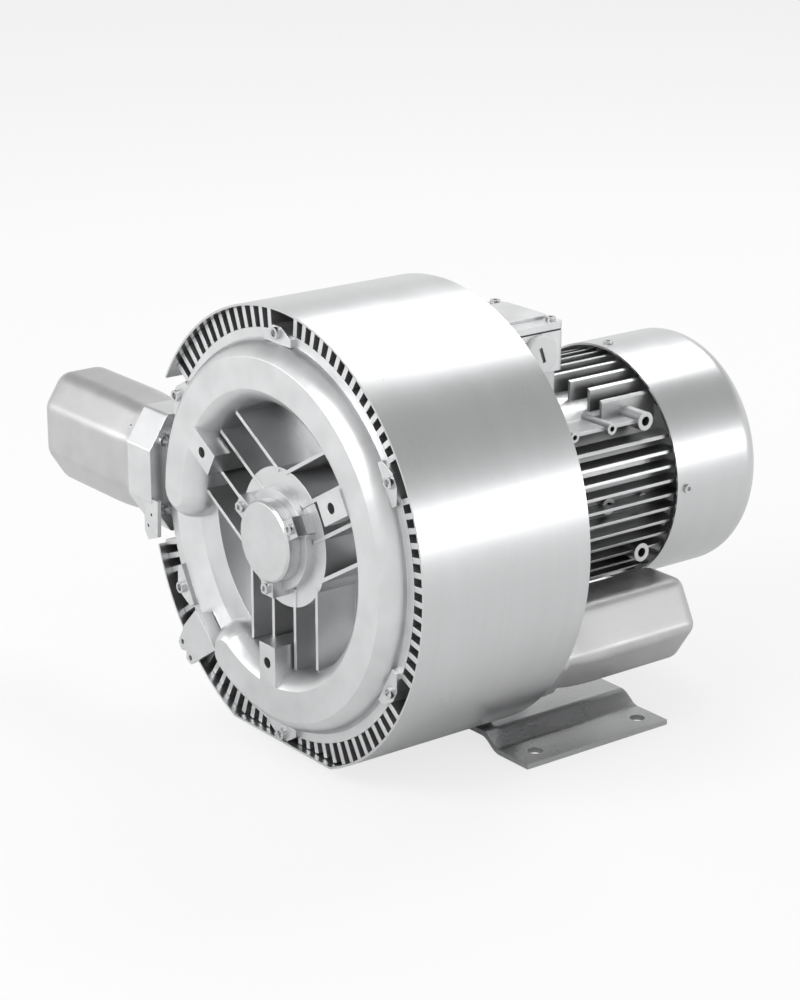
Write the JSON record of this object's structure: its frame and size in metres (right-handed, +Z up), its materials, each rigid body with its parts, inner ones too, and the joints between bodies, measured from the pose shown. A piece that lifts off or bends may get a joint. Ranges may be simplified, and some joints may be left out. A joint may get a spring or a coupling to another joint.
{
  "type": "two-stage side-channel blower",
  "caption": "Two-stage side-channel blower: finned castings in a sheet shell, a motor with a fan cowl, a terminal box, silencers on inlet and outlet, on a hat-shaped bracket.",
  "frame": {"origin": "on the floor, at the middle of the four foot holes of the base bracket", "axes": "+Z up, +Y along the shaft from the front cover to the motor, +X to the right seen from the front, so the inlet silencer points to -X"},
  "size_m": [0.616, 0.4994, 0.422],
  "materials": {
    "cast_aluminium": "satin sand-cast and machined aluminium",
    "silencer_aluminium": "satin cast aluminium",
    "shell_sheet": "smooth brushed sheet, silver",
    "box_aluminium": "fine satin pressure-cast aluminium",
    "bracket_steel": "galvanised steel plate, mid grey",
    "fastener_steel": "zinc-plated steel",
    "bearing_steel": "ground bearing steel",
    "shaft_steel": "turned steel",
    "impeller_aluminium": "cast aluminium",
    "lamination_steel": "stacked electrical sheet",
    "copper_winding": "varnished copper wire",
    "seal_rubber": "matt black",
    "fan_plastic": "matt black plastic",
    "board_plastic": "moulded brown plastic",
    "stud_brass": "bright brass",
    "plug_plastic": "pale grey moulded plastic",
    "silencer_foam": "open-cell foam, dark grey"
  },
  "bodies": {
    "housing": {"base_bracket": "bracket_steel", "base_screws": "fastener_steel", "rear_casing": "cast_aluminium", "centre_casing": "cast_aluminium", "front_cover": "cast_aluminium", "joint_gaskets": "seal_rubber", "cover_bolts": "fastener_steel", "casing_bolts": "fastener_steel", "air_shroud": "shell_sheet", "shroud_screws": "fastener_steel", "bearing_cap": "cast_aluminium", "cap_screws": "fastener_steel", "front_bearing_outer": "bearing_steel", "rear_bearing_outer": "bearing_steel", "wave_spring": "bearing_steel", "shaft_seals": "seal_rubber", "stator_core": "lamination_steel", "stator_windings": "copper_winding", "motor_housing": "cast_aluminium", "motor_bolts": "fastener_steel", "rear_shield": "cast_aluminium", "shield_screws": "fastener_steel", "fan_cowl": "shell_sheet", "cowl_screws": "fastener_steel", "terminal_box": "box_aluminium", "box_screws": "fastener_steel", "lid_gasket": "seal_rubber", "terminal_lid": "box_aluminium", "lid_screws": "fastener_steel", "terminal_board": "board_plastic", "terminal_studs": "stud_brass", "cable_plug": "plug_plastic", "inlet_silencer": "silencer_aluminium", "inlet_foam": "silencer_foam", "inlet_gasket": "seal_rubber", "inlet_screws": "fastener_steel", "outlet_silencer": "silencer_aluminium", "outlet_foam": "silencer_foam", "outlet_gasket": "seal_rubber", "outlet_screws": "fastener_steel"},
    "rotor": {"shaft": "shaft_steel", "shaft_nut": "shaft_steel", "impeller_front": "impeller_aluminium", "impeller_rear": "impeller_aluminium", "impeller_spacer": "shaft_steel", "impeller_keys": "shaft_steel", "rotor_core": "lamination_steel", "rotor_cage": "impeller_aluminium", "cooling_fan": "fan_plastic", "fan_clip": "shaft_steel", "front_bearing_inner": "bearing_steel", "rear_bearing_inner": "bearing_steel"},
    "front_cage": {"front_bearing_balls": "bearing_steel"},
    "rear_cage": {"rear_bearing_balls": "bearing_steel"}
  },
  "joints": [
    {"name": "rotor_spin", "type": "hinge", "parent": "housing", "child": "rotor", "pos_m": [0, 0, 0.212], "axis": [0, 1, 0], "continuous": true},
    {"name": "front_cage_spin", "type": "hinge", "parent": "housing", "child": "front_cage", "pos_m": [0, -0.229, 0.212], "axis": [0, 1, 0], "continuous": true},
    {"name": "rear_cage_spin", "type": "hinge", "parent": "housing", "child": "rear_cage", "pos_m": [0, 0.132, 0.212], "axis": [0, 1, 0], "continuous": true}
  ],
  "couplings": [
    {"joint": "front_cage_spin", "follows": "rotor_spin", "ratio": 0.3806},
    {"joint": "rear_cage_spin", "follows": "rotor_spin", "ratio": 0.3991}
  ]
}
